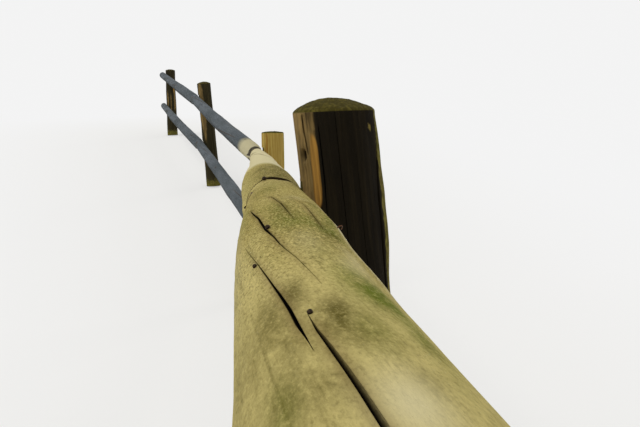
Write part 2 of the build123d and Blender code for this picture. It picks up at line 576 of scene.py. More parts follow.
def block(matrix, outline, low, high, kind=SAWN):
    """Closed prism to cut with, in the frame of a joint: its outline in x and z."""
    n = len(outline)
    verts = [(x, low, z) for x, z in outline] + [(x, high, z) for x, z in outline]
    faces = [tuple(range(n)), tuple(range(2 * n - 1, n - 1, -1))]
    faces += [(i, n + i, n + (i + 1) % n, (i + 1) % n) for i in range(n)]
    mesh = bpy.data.meshes.new("cutter")
    mesh.from_pydata(verts, [], faces)
    for _ in range(3):
        mesh.materials.append(None)
    for face in mesh.polygons:
        face.material_index = kind
    return place(mesh, matrix)


def oblong(x_low, x_high, z_low, z_high):
    return [(x_low, z_low), (x_high, z_low), (x_high, z_high), (x_low, z_high)]


def ring_points(x, z, radius, sides):
    turn = np.linspace(0, 2 * math.pi, sides, endpoint=False)
    return [(x + radius * math.cos(t), z + radius * math.sin(t)) for t in turn]


def cut(obj, cutters):
    """Takes the cutters away from a piece, and then removes them."""
    for cutter in cutters:
        modifier = obj.modifiers.new("cut", "BOOLEAN")
        modifier.operation, modifier.solver = "DIFFERENCE", "MANIFOLD"
        modifier.object = cutter
    bpy.context.view_layer.update()
    seen = obj.evaluated_get(bpy.context.evaluated_depsgraph_get())
    mesh = bpy.data.meshes.new_from_object(seen)
    obj.modifiers.clear()
    old, obj.data = obj.data, mesh
    mesh.name = obj.name
    bpy.data.meshes.remove(old)
    for cutter in cutters:
        mesh = cutter.data
        bpy.data.objects.remove(cutter)
        bpy.data.meshes.remove(mesh)
    for face in obj.data.polygons:
        if face.material_index > 0 and len(face.vertices) > 4:
            face.use_smooth = False


# Materials

def srgb(r, g, b):
    """Linear colour for a colour given as 0 to 255."""
    out = []
    for v in (r, g, b):
        v = min(v, 255) / 255
        out.append(v / 12.92 if v <= 0.04045 else ((v + 0.055) / 1.055) ** 2.4)
    return (*out, 1.0)


def scaled(colour, factor, plus=0):
    return [v * factor + plus for v in colour]


class Nodes:
    """Short way of building the node tree of a material or a world."""

    def __init__(self, owner):
        owner.use_nodes = True
        self.owner, self.tree = owner, owner.node_tree
        self.tree.nodes.clear()

    def add(self, kind, inputs=(), **settings):
        """New node with settings, and with inputs by number or name. Gives its outputs."""
        node = self.tree.nodes.new("ShaderNode" + kind)
        for name, value in settings.items():
            setattr(node, name, value)
        for name, value in dict(inputs).items():
            if isinstance(value, bpy.types.NodeSocket):
                self.tree.links.new(value, node.inputs[name])
            else:
                node.inputs[name].default_value = value
        return node.outputs

    def math(self, operation, a, b=0.0, *c):
        return self.add("Math", enumerate((a, b, *c)), operation=operation)[0]

    def attribute(self, name):
        return self.add("Attribute", attribute_name=name)["Fac"]

    def coordinates(self):
        return self.add("TexCoord")["Object"]

    def grain_space(self, twist):
        """Object coordinates turned round the length, so that the grain winds."""
        coords = self.coordinates()
        along = self.add("SeparateXYZ", {0: coords})["X"]
        angle = self.math("MULTIPLY", along, math.radians(twist))
        return self.add("VectorRotate", {"Vector": coords, "Angle": angle}, rotation_type="X_AXIS")[0]

    def noise(self, vector, along, around, detail, rough, distortion, seed):
        """Noise with so many waves a metre along the length and around it."""
        waves = {0: vector, 1: (along, around, around), 2: (seed, seed * 0.7, seed * 1.3)}
        moved = self.add("VectorMath", waves, operation="MULTIPLY_ADD")[0]
        looks = {"Scale": 1.0, "Detail": detail, "Roughness": rough, "Distortion": distortion}
        return self.add("TexNoise", {"Vector": moved, **looks})["Fac"]

    def ramp(self, value, low, high, to_low=0.0, to_high=1.0):
        limits = {"From Min": low, "From Max": high, "To Min": to_low, "To Max": to_high}
        return self.add("MapRange", {"Value": value, **limits}, interpolation_type="SMOOTHSTEP")[0]

    def mix(self, share, *colours):
        """The first colour with a share of the second, as 0 to 255 or as sockets."""
        a, b = (c if isinstance(c, bpy.types.NodeSocket) else srgb(*c) for c in colours)
        return self.add("Mix", {0: share, 6: a, 7: b}, data_type="RGBA")[2]

    def over(self, c, noise, low, high, most, colour):
        """Colour c with up to so much of a colour where a noise passes a range."""
        return self.mix(self.ramp(noise, low, high, 0, most), c, colour)

    def marked(self, c, name, most, colour):
        """Colour c with up to so much of a colour where a painted field is."""
        return self.mix(self.math("MULTIPLY", self.attribute(name), most), c, colour)

    def ragged(self, name, noise, amount):
        """Share of a painted field, with its edge broken up by a noise."""
        off = self.math("SUBTRACT", noise, 0.5)
        return self.ramp(self.math("MULTIPLY_ADD", off, amount, self.attribute(name)), 0.35, 0.6)

    def bumps(self, *layers):
        """Normal that is bent by layers of relief: height, distance and strength."""
        inputs = {}
        for layer in layers:
            inputs |= zip(("Height", "Distance", "Strength"), layer)
            inputs["Normal"] = self.add("Bump", inputs)[0]
        return inputs["Normal"]

    def surface(self, colour, roughness, specular, *layers):
        """Plain opaque surface, with layers of relief."""
        inputs = {"Base Color": colour, "Roughness": roughness, "Specular IOR Level": specular}
        if layers:
            inputs["Normal"] = self.bumps(*layers)
        return self.add("BsdfPrincipled", inputs)[0]

    def finish(self, *surface):
        """Material with such a surface."""
        self.add("OutputMaterial", {"Surface": self.surface(*surface)})
        return self.owner


# Turns of the grain along a log and a post, in degrees a metre
RAIL_TWIST, POST_TWIST = 82.0, 12.0
RING_WIDTH = 0.0034
# Cream of painted sunlight and highlights, and the brown of real stains beside cracks
PAINTED_SUNLIGHT, STAINED = (206, 197, 158), (84, 60, 30)


def wood(name, base, pale, deep, algae, wild_algae, seed):
    """Weathered peeled log: blotches, fine fibres, flecks and algae, with painted shade, painted sunlight and
    highlights, and cracks darkened with painted shade.
    """
    n = Nodes(bpy.data.materials.new(name))
    g = n.grain_space(RAIL_TWIST)
    broad = n.noise(g, 1.6, 7, 2, 0.5, 0.2, seed + 3)
    blotch = n.noise(g, 6, 19, 3, 0.6, 0.5, seed)
    lumps = n.noise(g, 36, 66, 4, 0.62, 0.2, seed + 9)
    fleck = n.noise(g, 150, 290, 5, 0.72, 0.0, seed + 7)
    grit = n.noise(g, 300, 520, 3, 0.65, 0.0, seed + 17)
    fibre = n.noise(g, 26, 620, 3, 0.6, 0.0, seed + 13)
    lines = n.noise(g, 3.2, 170, 3, 0.55, 0.15, seed + 21)
    c = n.mix(n.ramp(broad, 0.36, 0.66), base, pale)
    c = n.over(c, blotch, 0.5, 0.72, 0.55, deep)
    c = n.over(c, lines, 0.56, 0.74, 0.45, scaled(deep, 0.88))
    # Painted shade: darker olive where the field of painted shade lies
    c = n.mix(n.attribute("painted_shade"), c, scaled(deep, 0.86))
    c = n.over(c, lumps, 0.5, 0.68, 0.35, pale)
    c = n.over(c, fibre, 0.5, 0.8, 0.3, deep)
    wild = n.ramp(n.noise(g, 4, 12, 4, 0.65, 0.6, seed + 31), 0.52, 0.72, 0, wild_algae)
    green = n.math("MAXIMUM", n.attribute("moss"), wild)
    green = n.math("MULTIPLY", green, n.ramp(lumps, 0.32, 0.6, 0.55, 1.0))
    c = n.mix(green, c, algae)
    rough = n.math("SUBTRACT", 1.0, n.attribute("worn"))
    for noise, low, high, share, colour in (
        (fleck, 0.47, 0.35, 0.70, scaled(deep, 0.74)),
        (fleck, 0.52, 0.64, 0.56, scaled(pale, 1.14, 4)),
        (grit, 0.52, 0.66, 0.46, scaled(pale, 1.12)),
        (grit, 0.48, 0.34, 0.60, scaled(deep, 0.76)),
    ):
        c = n.mix(n.math("MULTIPLY", n.ramp(noise, low, high, 0, share), rough), c, colour)
    # Painted sunlight and highlights: cream where the pale field lies
    c = n.mix(n.attribute("pale"), c, PAINTED_SUNLIGHT)
    c = n.marked(c, "stain", 0.45, STAINED)
    # Painted shade in the depths of cracks and holes
    c = n.mix(n.ramp(n.attribute("dark"), 0.1, 0.75), c, (24, 17, 9))
    tall = n.math("MULTIPLY_ADD", fleck, 0.9, n.math("MULTIPLY", fibre, 0.4))
    relief = ((n.math("MULTIPLY", tall, rough), 0.0022, 1.0), (lumps, 0.0035, 0.6), (lines, 0.0012, 0.5))
    return n.finish(c, n.ramp(fleck, 0.2, 0.8, 0.95, 0.82), 0.06, *relief)


def sawn(name, base, ring, rim, seed):
    """Cut faces of a log, with growth rings round its centre line."""
    n = Nodes(bpy.data.materials.new(name))
    coords = n.coordinates()
    flat = n.add("VectorMath", {0: coords, 1: (0.15, 1.0, 1.0)}, operation="MULTIPLY")[0]
    length = n.add("VectorMath", {0: flat}, operation="LENGTH")["Value"]
    waver = n.noise(coords, 8, 22, 3, 0.55, 0.0, seed)
    radius = n.math("MULTIPLY_ADD", waver, 0.010, length)
    rings = n.math("SINE", n.math("MULTIPLY", radius, 2 * math.pi / RING_WIDTH))
    fine = n.noise(coords, 300, 500, 3, 0.6, 0.0, seed + 5)
    blotch = n.noise(coords, 20, 24, 4, 0.6, 0.3, seed + 9)
    c = n.mix(n.ramp(rings, -0.2, 1.0, 0, 0.55), base, ring)
    c = n.over(c, blotch, 0.42, 0.7, 0.8, rim)
    c = n.over(c, fine, 0.5, 0.8, 0.4, ring)
    # Painted shade where the cracks run into the cut face
    c = n.mix(n.ramp(n.attribute("dark"), 0.1, 0.8), c, (30, 22, 14))
    return n.finish(c, 0.88, 0.12, (rings, 0.0006, 0.35), (fine, 0.0006, 0.6))


def post_wood(name, dark, mid, tan, orange, moss, seed, painted_crack_shade=(10, 8, 5)):
    """Old post: dark weathered wood with split fibres, and tan and orange strips."""
    n = Nodes(bpy.data.materials.new(name))
    g = n.grain_space(POST_TWIST)
    streaks = n.noise(g, 2.2, 95, 4, 0.62, 0.3, seed)
    fibre = n.noise(g, 9, 420, 4, 0.6, 0.0, seed + 5)
    blotch = n.noise(g, 9, 26, 4, 0.62, 0.4, seed + 11)
    fleck = n.noise(g, 60, 190, 3, 0.6, 0.2, seed + 17)
    c = n.mix(n.ramp(streaks, 0.44, 0.70), dark, mid)
    c = n.over(c, blotch, 0.5, 0.72, 0.5, scaled(dark, 0.7))
    t = n.mix(n.ramp(streaks, 0.40, 0.66), tan, scaled(tan, 0.72))
    t = n.over(t, blotch, 0.5, 0.72, 0.6, scaled(tan, 1.2))
    o = n.mix(n.ramp(streaks, 0.44, 0.66), orange, scaled(orange, 0.75))
    c = n.mix(n.ragged("tan", blotch, 0.7), c, t)
    c = n.mix(n.ragged("orange", streaks, 0.6), c, o)
    c = n.over(c, fibre, 0.52, 0.78, 0.4, dark)
    m = n.mix(n.ramp(fleck, 0.4, 0.66), moss, scaled(moss, 1.45, 8))
    m = n.over(m, blotch, 0.48, 0.7, 0.6, scaled(tan, 0.9))
    c = n.mix(n.ragged("moss", fleck, 0.8), c, m)
    c = n.marked(c, "stain", 0.5, dark)
    # Painted shade in the depths of the post's cracks
    c = n.mix(n.ramp(n.attribute("dark"), 0.12, 0.8), c, painted_crack_shade)
    relief = ((fibre, 0.0009, 0.8), (streaks, 0.003, 0.55), (fleck, 0.0012, 0.5))
    return n.finish(c, n.ramp(fleck, 0.2, 0.8, 0.98, 0.86), 0.08, *relief)


def metal(name, seed):
    """Rusted iron with some dull grey metal left."""
    n = Nodes(bpy.data.materials.new(name))
    coords = n.coordinates()
    patch = n.noise(coords, 160, 160, 4, 0.65, 0.4, seed)
    fine = n.noise(coords, 900, 900, 3, 0.6, 0.0, seed + 3)
    c = n.mix(n.ramp(patch, 0.4, 0.62), (92, 58, 36), (74, 66, 60))
    c = n.over(c, fine, 0.5, 0.75, 0.6, (132, 80, 46))
    return n.finish(c, n.ramp(patch, 0.3, 0.7, 0.85, 0.6), 0.4, (fine, 0.0003, 0.8))


def bark(name, seed):
    """Dark broken bark of a knot's stub."""
    n = Nodes(bpy.data.materials.new(name))
    rough = n.noise(n.coordinates(), 600, 600, 4, 0.6, 0.0, seed)
    c = n.mix(n.ramp(rough, 0.4, 0.65), (26, 19, 10), (74, 56, 32))
    return n.finish(c, 0.8, 0.3, (rough, 0.0006, 0.9))


OLIVE = (96, 106, 27)
tan_log = wood("wood_near", (162, 147, 83), (190, 176, 114), (102, 92, 36), OLIVE, 0.4, 3)
tan_low = wood("wood_tan", (146, 126, 80), (174, 156, 108), (104, 90, 50), OLIVE, 0.5, 83)
# The far logs: weathered grey wood, with a blue cast that is painted skylight
grey_log = wood("wood_grey", (80, 87, 92), (106, 113, 121), (56, 60, 61), (68, 76, 46), 0.3, 123)
sawn_tan = sawn("sawn_tan", (146, 124, 80), (108, 88, 52), (92, 84, 50), 163)
sawn_grey = sawn("sawn_grey", (118, 114, 106), (84, 79, 70), (72, 74, 62), 183)
# Faces inside the near joint: dirty end grain darkened further with painted shade
sawn_dark = sawn("sawn_dark", (58, 46, 28), (40, 31, 18), (44, 40, 22), 193)
iron = metal("rusted_iron", 7)
stub_bark = bark("stub_bark", 11)

TAN, ORANGE, MOSS = (132, 110, 68), (168, 126, 60), (74, 70, 28)
# The dark post's near-black: its old wood's own dark colour, deepened with painted shade
post_dark = post_wood("post_dark", (24, 20, 13), (36, 30, 19), TAN, ORANGE, MOSS, 203)
post_grey = post_wood("post_brown", (46, 42, 27), (66, 59, 38), TAN, ORANGE, MOSS, 213)
post_tan = post_wood(
    "post_tan", (158, 132, 66), (182, 160, 90), (154, 142, 54), (162, 122, 52), (104, 98, 42), 233,
    painted_crack_shade=(44, 30, 14),
)
top_dark = post_wood("top_dark", (64, 58, 22), (92, 84, 36), (112, 100, 54), (100, 80, 38), (80, 80, 30), 263)
post_woods = [post_grey, post_dark, post_tan, post_grey, post_grey]

rail_woods = {
    "top": (tan_log, tan_log, grey_log, grey_log),
    "lower": (tan_low, grey_log, grey_log, grey_log),
}


# Rails

rng = np.random.default_rng(4711)

# Least turn in degrees between two drawn cracks
APART = 9

# Lengths where the finer meshes of the near log, the next log and the dark post
# begin or end: the photograph shows these stretches from close up
NEAR_FROM, SECOND_TO, DARK_POST_FROM = 1.95, 0.9, 0.72


def spread(low, high, step):
    return np.linspace(low, high, max(2, int(round((high - low) / step)) + 1))


def around(dense_low, dense_high, fine, coarse, radius):
    """Turns of the columns, closer together between two turns."""
    degree = 180 / math.pi / radius
    inner = np.arange(dense_low, dense_high, fine * degree)
    outer = np.arange(dense_high, dense_low + 360, coarse * degree)
    return np.concatenate([inner, outer])


def random_checks(low, high, number, widest, deepest, avoid=()):
    """Cracks along the grain at turns that keep clear of each other."""
    found, taken = [], list(avoid)
    tries = 0
    while len(found) < number and tries < 400:
        tries += 1
        turn = rng.uniform(0, 360)
        if any(abs(turn_between(turn, t)) < APART for t in taken):
            continue
        length = rng.uniform(0.12, 0.75) * min(high - low, 1.4)
        start = rng.uniform(low, max(low + 0.01, high - length))
        at = np.linspace(start, min(start + length, high), 7)
        wander = np.cumsum(rng.normal(0, 0.45, 7))
        width = widest * rng.uniform(0.35, 1)
        widths = np.array([0.25, 0.6, 0.9, 1, 0.85, 0.55, 0.2]) * width
        path = list(zip(at, turn + wander - wander.mean()))
        found.append(Check(path, widths, deepest * width / widest))
        taken.append(turn)
    return found


def random_pits(number, length, least, most):
    """Small knots, each with its half length, half width and depth."""
    found = []
    for _ in range(number):
        place, angle = rng.uniform(0.2, length - 0.2), rng.uniform(0, 360)
        size, depth = rng.uniform(least, most), rng.uniform(0.002, 0.005)
        found.append(Pit(place, angle, 1.4 * size, size, depth, rng.uniform(0.6, 1)))
    return found


def random_spots(number, *ranges):
    """Soft patches, with their places, angles and reaches drawn, of a fixed amount."""
    *drawn, amount = ranges
    return [(*(rng.uniform(*limits) for limits in drawn), amount) for _ in range(number)]


def grain_path(points, twist=RAIL_TWIST):
    """Lengths and angles from the top, as lengths and turns along the grain."""
    return [(s, angle + twist * s) for s, angle in points]


def near_checks():
    """The five cracks on top of the near log, from its joint towards the low end."""
    long_crack = Check(
        grain_path([
            (2.185, -7.5), (2.224, -11.1), (2.261, -14.5), (2.304, -20.0), (2.335, -23.0),
            (2.380, -26.2), (2.439, -32.0), (2.494, -35.2), (2.541, -37.7), (2.589, -42.3),
            (2.662, -48.0),
        ]),
        [0.0004, 0.0006, 0.0008, 0.0010, 0.0013, 0.0017, 0.0029, 0.0029, 0.0026, 0.0020, 0.0014],
        0.011,
    )
    side_crack = Check(
        [(1.62, 145.0), (1.94, 148.0), (2.005, 148.7)]
        + grain_path([
            (2.085, -22.5), (2.101, -23.8), (2.127, -26.2), (2.155, -28.0), (2.192, -31.4),
            (2.218, -34.1), (2.309, -43.0), (2.382, -50.8), (2.440, -56.6),
        ]),
        [0, 0, 0, 0, 0.0009, 0.0023, 0.0024, 0.0019, 0.0015, 0.0009, 0.0006, 0.0004],
        0.011,
        149.5,
    )
    wide_crack = Check(
        grain_path([
            (1.62, 18.0), (1.80, 4.0), (1.94, -5.0), (2.005, -9.2), (2.031, -11.1),
            (2.055, -13.1), (2.083, -15.8), (2.108, -18.4), (2.131, -19.8),
        ])
        + [(2.140, 155.4), (2.2, 155.3), (2.3, 153.3), (2.45, 149.6)],
        [0.0010, 0.0026, 0.0031, 0.0030, 0.0029, 0.0027, 0.0024, 0.0015, 0.0004, 0, 0, 0, 0],
        0.013,
        155.3,
    )
    top_crack = Check(
        grain_path([
            (2.437, -3.6), (2.481, -5.4), (2.533, -7.4), (2.585, -9.3), (2.633, -13.0),
            (2.689, -17.6), (2.716, -23.0),
        ]),
        [0.0006, 0.0010, 0.0015, 0.0017, 0.0015, 0.0012, 0.0010],
        0.004,
    )
    fine_crack = Check(
        grain_path([
            (2.396, 20.5), (2.446, 19.4), (2.484, 18.2), (2.527, 16.9), (2.582, 15.4),
            (2.630, 9.5),
        ]),
        [0.0010, 0.0016, 0.0017, 0.0015, 0.0011, 0.0009],
        0.003,
    )
    return [long_crack, side_crack, wide_crack, top_crack, fine_crack]


NEAR_PITS = [
    Pit(2.668, -48.6, 0.0036, 0.0026, 0.004),
    Pit(3.034, -17.8, 0.0120, 0.0046, 0.009),
    Pit(2.610, 24.0, 0.0046, 0.0036, 0.005),
    Pit(2.384, 27.7, 0.0046, 0.0030, 0.004),
    Pit(2.642, 8.5, 0.0034, 0.0024, 0.003),
    Pit(2.696, -22.0, 0.0022, 0.0016, 0.002, 0.7),
    Pit(2.306, 6.9, 0.0012, 0.0010, 0.001, 0.4),
]


# Middle and reach, in degrees from the top, of a swelling on the path side and on
# the posts' side
PATH_SIDE, POST_SIDE = (-84, 50), (52, 36)


def swelling(places, *amounts):
    """Change of radius along a log, on the path side and on the posts' side."""

    def shape(S, theta):
        total = 0
        for (middle, reach), values in zip((PATH_SIDE, POST_SIDE), amounts):
            total = total + bell(theta - middle, reach) * smooth_through(places, values, S)
        return total

    return shape


near_swelling = swelling(
    (1.7, 2.12, 2.23, 2.31, 2.40, 2.47, 2.53, 2.62, 2.73, 2.84, 2.93, 3.00),
    (0, 0.0008, 0.0036, 0.0046, 0.0054, 0.0059, 0.0064, 0.0070, 0.0050, 0.0042, 0.0014, 0.001),
    (-0.001, -0.0035, -0.0048, -0.0034, -0.0040, -0.0010, 0.0032, 0.0048, 0.0045, 0.0034, 0.0032,
     0.0030),
)
second_swelling = swelling(
    (0.08, 0.17, 0.26, 0.38, 0.55, 0.80, 1.15, 1.60),
    (-0.0003, 0.0010, 0.0040, 0.0064, 0.0046, 0.0020, -0.0019, 0),
    (0.0004, -0.0006, -0.0016, -0.0022, -0.0058, -0.0044, -0.0015, 0),
)


# Heights by which a butt stands over the thinner tip that it meets
NEAR_STEP, PLAIN_STEP = 0.0060, 0.0012


def butt_shoulder(before, line, step_height):
    """Rounds a butt down to the thinner tip that it meets, with a low step on top."""
    tip, butt = before.radius(before.span), line.radius(0.0)

    def shape(S, theta):
        upper = rise(np.abs(theta), 95, -10)
        face = -LAP_BACK + (LAP_BACK + LAP / 2) * upper
        step = 0.0004 + step_height * np.exp(-(((theta - 14) / 32) ** 4))
        drop = butt - tip - step
        return -drop * np.exp(-((np.maximum(S - face, 0) / 0.055) ** 1.4))

    return shape


def hewn_top(place):
    """Shallow flat that is hewn on top of a log at a lap."""

    def shape(S, theta):
        return -0.005 * bell(S - place, 0.07) * bell(theta - 12, 26)

    return shape


# Coach bolts: two at each lapped joint and one at the ends, sunk on the path side
BOLT_SPOTS = ((-0.020, 0.027), (0.020, -0.027))
END_BOLT_SPOTS = ((0.0, 0.0),)
SINK_RADIUS, SINK_DEPTH = 0.0165, 0.014

# Lengths by which the cutters of logs and posts reach out, length that the lapped
# ends are cut from, and turn in degrees of the near joint's upper saw cut
CLEAR, POST_CLEAR, ALLOWANCE, ASKEW = 0.3, 0.2, 0.02, -2.2


def bolt_spots(post):
    return BOLT_SPOTS if inner_post(post) else END_BOLT_SPOTS


def log_cutters(row, bay):
    """Laps, flats and bolt sinks of a log."""
    cutters = []
    for post, inward in ((bay, 1), (bay + 1, -1)):
        j = joints[row, post]
        m = j.matrix()
        if inner_post(post):
            # the upper saw cut is a little askew, and gapes on the posts' side
            askew = ASKEW if inward < 0 and post == 1 else 0
            turned = Matrix.Rotation(math.radians(askew), 4, "Z")
            outline = [
                (-LAP / 2, -CLEAR), (CLEAR, -CLEAR), (CLEAR, CLEAR),
                (LAP_BACK, CLEAR), (LAP_BACK, 0.0), (-LAP / 2, 0.0),
            ]
            if inward > 0:
                outline = [(-x, -z) for x, z in outline]
            # only the near joint's faces take the dark of dirt and painted shade
            kind = LAPPED if post == 1 else SAWN
            cutters.append(block(m @ turned, outline, -CLEAR, CLEAR, kind))
        foot = posts[post].radius(0.0)
        cutters.append(block(m, oblong(-foot, foot, -CLEAR, CLEAR), -CLEAR, -j.flat))
        for x, z in bolt_spots(post):
            if not inner_post(post) or (z > 0) == (inward < 0):
                face = j.log_face(z)
                ring = ring_points(x, z, SINK_RADIUS, 28)
                cutters.append(block(m, ring, face - SINK_DEPTH, face + 0.05))
    return cutters


def sawn_end(seed):
    """Slightly rough and rounded end face."""

    def height(share, off):
        grain = np.c_[np.zeros(len(share)), off / 0.006]
        return 0.0008 * layered(grain, seed + 3, 2) - 0.0015 * np.clip((share - 0.93) / 0.07, 0, 1)

    return height


def level_end(share, off):
    return np.zeros(len(share))


NEAR_PATCHES = {
    "moss": [
        (2.45, -4, 0.055, 22, 0.9), (2.41, 28, 0.05, 15, 0.95), (2.50, 40, 0.05, 9, 0.95),
        (2.58, 33, 0.05, 9, 0.6), (2.56, -14, 0.06, 14, 0.6), (2.195, 12, 0.05, 12, 0.65),
        (2.165, 25, 0.045, 10, 1.0), (2.10, 30, 0.05, 8, 0.6), (2.09, 6, 0.03, 9, 0.4),
        (2.045, -40, 0.03, 9, 0.35), (2.30, 8, 0.06, 14, 0.3), (2.85, -15, 0.10, 20, 0.4),
        (1.4, 60, 0.3, 25, 0.5), (0.6, 30, 0.4, 30, 0.5),
    ],
    # painted shade, where shade falls on the near log
    "painted_shade": [
        (2.181, -24, 0.035, 8, 0.8), (2.122, -6, 0.035, 10, 1.0), (2.165, 20, 0.03, 9, 0.7),
        (2.05, -38, 0.03, 10, 0.6), (2.17, -40, 0.035, 9, 0.5), (2.52, -14, 0.06, 14, 0.35),
        (2.045, -19, 0.03, 12, 0.4), (2.16, -75, 0.12, 16, 0.25), (2.39, 22, 0.05, 12, 0.45),
        (2.10, -32, 0.025, 8, 0.4), (2.12, -60, 0.10, 18, 0.35), (1.2, -20, 0.3, 30, 0.4),
    ],
    # painted sunlight and highlights, with the bright rim along the right shoulder
    "pale": [
        (2.015, 3, 0.03, 12, 0.7), (2.27, 28, 0.05, 7, 0.35), (2.65, 15, 0.03, 18, 0.2),
        (2.33, -2, 0.05, 12, 0.15), (2.24, 18, 0.03, 7, 0.2), (2.45, -75, 0.2, 12, 0.25),
        (2.66, 52, 0.09, 5, 0.9), (2.50, 53, 0.07, 4.5, 1.0), (2.34, 52, 0.07, 7, 0.8),
        (2.20, 52, 0.08, 6, 0.4),
    ],
}


def paint_near_log(log):
    log.paint("worn", 0.65 * rise(log.S, 2.34, -0.18))
    for name, spots in NEAR_PATCHES.items():
        log.paint(name, log.patches(spots))


def paint_log(log, row, bay):
    """Moss, painted shade and painted sunlight of the other logs."""
    log.paint("moss", log.patches(random_spots(5, (0, log.line.span), (20, 160), (0.08, 0.3), (15, 40), 0.6)))
    # painted shade: the far logs' undersides are darker
    upward = np.cos(np.radians(log.theta))
    painted_shade, pale = 0.85 * rise(upward, 0.15, -0.5) * (bay > 1), np.zeros((log.n, log.m))
    if (row, bay) == ("top", 1):
        # painted shadow of the dark post across the second log's near end
        painted_shade = log.patches([(0.26, 10, 0.16, 45, 0.8), (0.05, 0, 0.10, 60, 0.6)])
        # painted sunlight past the shadow's edge, which curves round the log, a little lighter on top
        start = 0.38 - 0.09 * np.sin(np.radians(log.theta))
        pale = rise(log.S, start, 0.10) * (0.8 + 0.2 * upward)
    if (row, bay) == ("top", 2):
        # painted sunlight on the near end of the third top log
        pale = 0.75 * rise(log.S, 0.36, -0.12)
    log.paint("painted_shade", painted_shade)
    log.paint("pale", pale)


def build_log(row, bay, line):
    first, last = bay == 0, bay == BAYS - 1
    near, second = ((row, bay) == ("top", k) for k in (0, 1))
    low = line.low - (0 if first else ALLOWANCE)
    high = line.high + (0 if last else ALLOWANCE)
    radius = line.mean_radius()
    shapes = []
    if not first:
        shapes.append(butt_shoulder(rails[row, bay - 1], line, NEAR_STEP if second else PLAIN_STEP))
    if near:
        rows = np.concatenate([spread(low, NEAR_FROM, 0.026), spread(NEAR_FROM, high, 0.0040)])
        columns = around(84, 300, 0.00155, 0.0060, radius)
        checks, pits = near_checks(), NEAR_PITS
        checks += random_checks(0.1, 1.5, 4, 0.003, 0.010, [c.base % 360 for c in checks])
        shapes += [near_swelling, hewn_top(line.span + LAP / 2)]
    else:
        rows = spread(low, high, 0.016)
        columns = around(0, 359, 0.0046, 0.005, radius)
        checks = random_checks(0.02, line.span - 0.02, 7, 0.0035, 0.011)
        pits = random_pits(5, line.span, 0.003, 0.007)
    if second:
        rows = np.concatenate([spread(low, SECOND_TO, 0.006), spread(SECOND_TO, high, 0.013)])
        columns = around(0, 359, 0.0030, 0.004, radius)
        pits.append(Pit(0.060, -18, 0.0042, 0.0042, 0.006))
        shapes += [second_swelling, hewn_top(LAP / 2)]
    relief = 1.0 if row == "top" and bay < 2 else 1.2
    seed = 31 * bay + (7 if row == "top" else 19)
    name = f"{row}_log_{bay + 1}"
    log = Log(name, line, (low, high), rows, columns, RAIL_TWIST, seed, checks, pits, relief, shapes)
    if near:
        paint_near_log(log)
    else:
        paint_log(log, row, bay)
    for high_end, free in ((False, first), (True, last)):
        log.cap(high_end, sawn_end(seed) if free else level_end)
    material = rail_woods[row][bay]
    piece = log.build([material, sawn_tan if bay < 2 else sawn_grey, sawn_dark])
    cut(piece, log_cutters(row, bay))
    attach(piece, "root")
    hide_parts(f"{row}_rail_{bay + 1}")
    return piece


pieces = {}
for (row, bay), line in rails.items():
    pieces[row, bay] = build_log(row, bay, line)


# Posts

# Heights of the crowns' domes and edges, and length of a post under its level cut
CROWNS = (0.014, 0.021, 0.006, 0.016, 0.012)
BEVEL = 0.007
BURIED = 0.03
CROWN_RINGS = (
    0.99, 0.975, 0.95, 0.92, 0.88, 0.83, 0.77, 0.7, 0.62, 0.54, 0.46, 0.38, 0.3, 0.22, 0.14, 0.07,
)


def dark_post_checks(rim):
    """Cracks of the big dark post that stands beside the near joint."""

    def check(points, widths, depth):
        return Check(grain_path(points, POST_TWIST), widths, depth)

    return [
        check(
            [(1.045, 44.5), (1.066, 43), (1.090, 40), (1.110, 39.4), (rim - 0.001, 39.2)],
            [0.001, 0.0060, 0.0100, 0.0120, 0.0115], 0.022,
        ),
        check(
            [(0.02, 141), (0.4, 144), (0.8, 146.5), (0.95, 146.5), (1.03, 151), (1.06, 153)],
            [0.004, 0.007, 0.008, 0.008, 0.006, 0.002], 0.030,
        ),
        check([(0.90, 64), (1.0, 65.5), (1.10, 64)], [0.001, 0.003, 0.002], 0.010),
        check([(0.70, 88), (0.9, 89), (rim - 0.001, 87)], [0.0006, 0.0014, 0.0011], 0.006),
        check([(0.5, 112), (0.8, 113), (1.05, 111)], [0.0006, 0.0016, 0.0006], 0.006),
    ]


def dark_post_shape(S, theta):
    """Hewn thinner over the joint on the path side, and fuller on the far side."""
    hewn = -0.0095 * rise(S, 0.95, 0.05) * bell(theta + 5, 45)
    places = (0.70, 0.787, 0.86, 0.94, 1.01, 1.07, 1.11)
    amounts = (0.0025, 0.0035, 0.0100, 0.0090, 0.0068, 0.0060, 0.0039)
    full = smooth_through(places, amounts, S)
    return hewn + full * bell(turn_between(theta, 170), 24)


def damp_foot(S):
    return rise(S, 0.16, -0.2, 0.8)


def paint_dark_post(log):
    S = log.S
    # Tan and orange strips on the path side: bare weathered wood, lightened with painted light that falls on
    # that side
    strips = (
        log.band(-75, 46, 2) * rise(S, 0.90, 0.06),
        0.75 * log.band(-60, 40, 8) * (S < 0.9),
        0.52 * log.band(40, 62, 1.5) * rise(S, 1.08, 0.01),
        0.55 * log.band(42, 60, 2) * rise(S, 0.93, 0.03),
    )
    green = (log.patches([(1.090, 139, 0.014, 6, 0.6)]), 0.9 * log.band(153, 179.9, 2), damp_foot(S))
    log.paint("tan", np.maximum.reduce(strips))
    log.paint("orange", 1.1 * log.band(48.8, 59.5, 1.6) * rise(S, 0.92, 0.06) * rise(S, 1.105, -0.05))
    log.paint("moss", np.maximum.reduce(green))


def paint_post(log, rim):
    place, angle = (0.3, 1.1), (-180, 180)
    log.paint("tan", log.patches(random_spots(5, place, angle, (0.15, 0.4), (8, 24), 0.8)))
    log.paint("orange", log.patches(random_spots(3, place, angle, (0.1, 0.3), (5, 12), 0.7)))
    log.paint("moss", np.maximum(rise(log.S, rim - 0.012, 0.02, 0.5), damp_foot(log.S)))


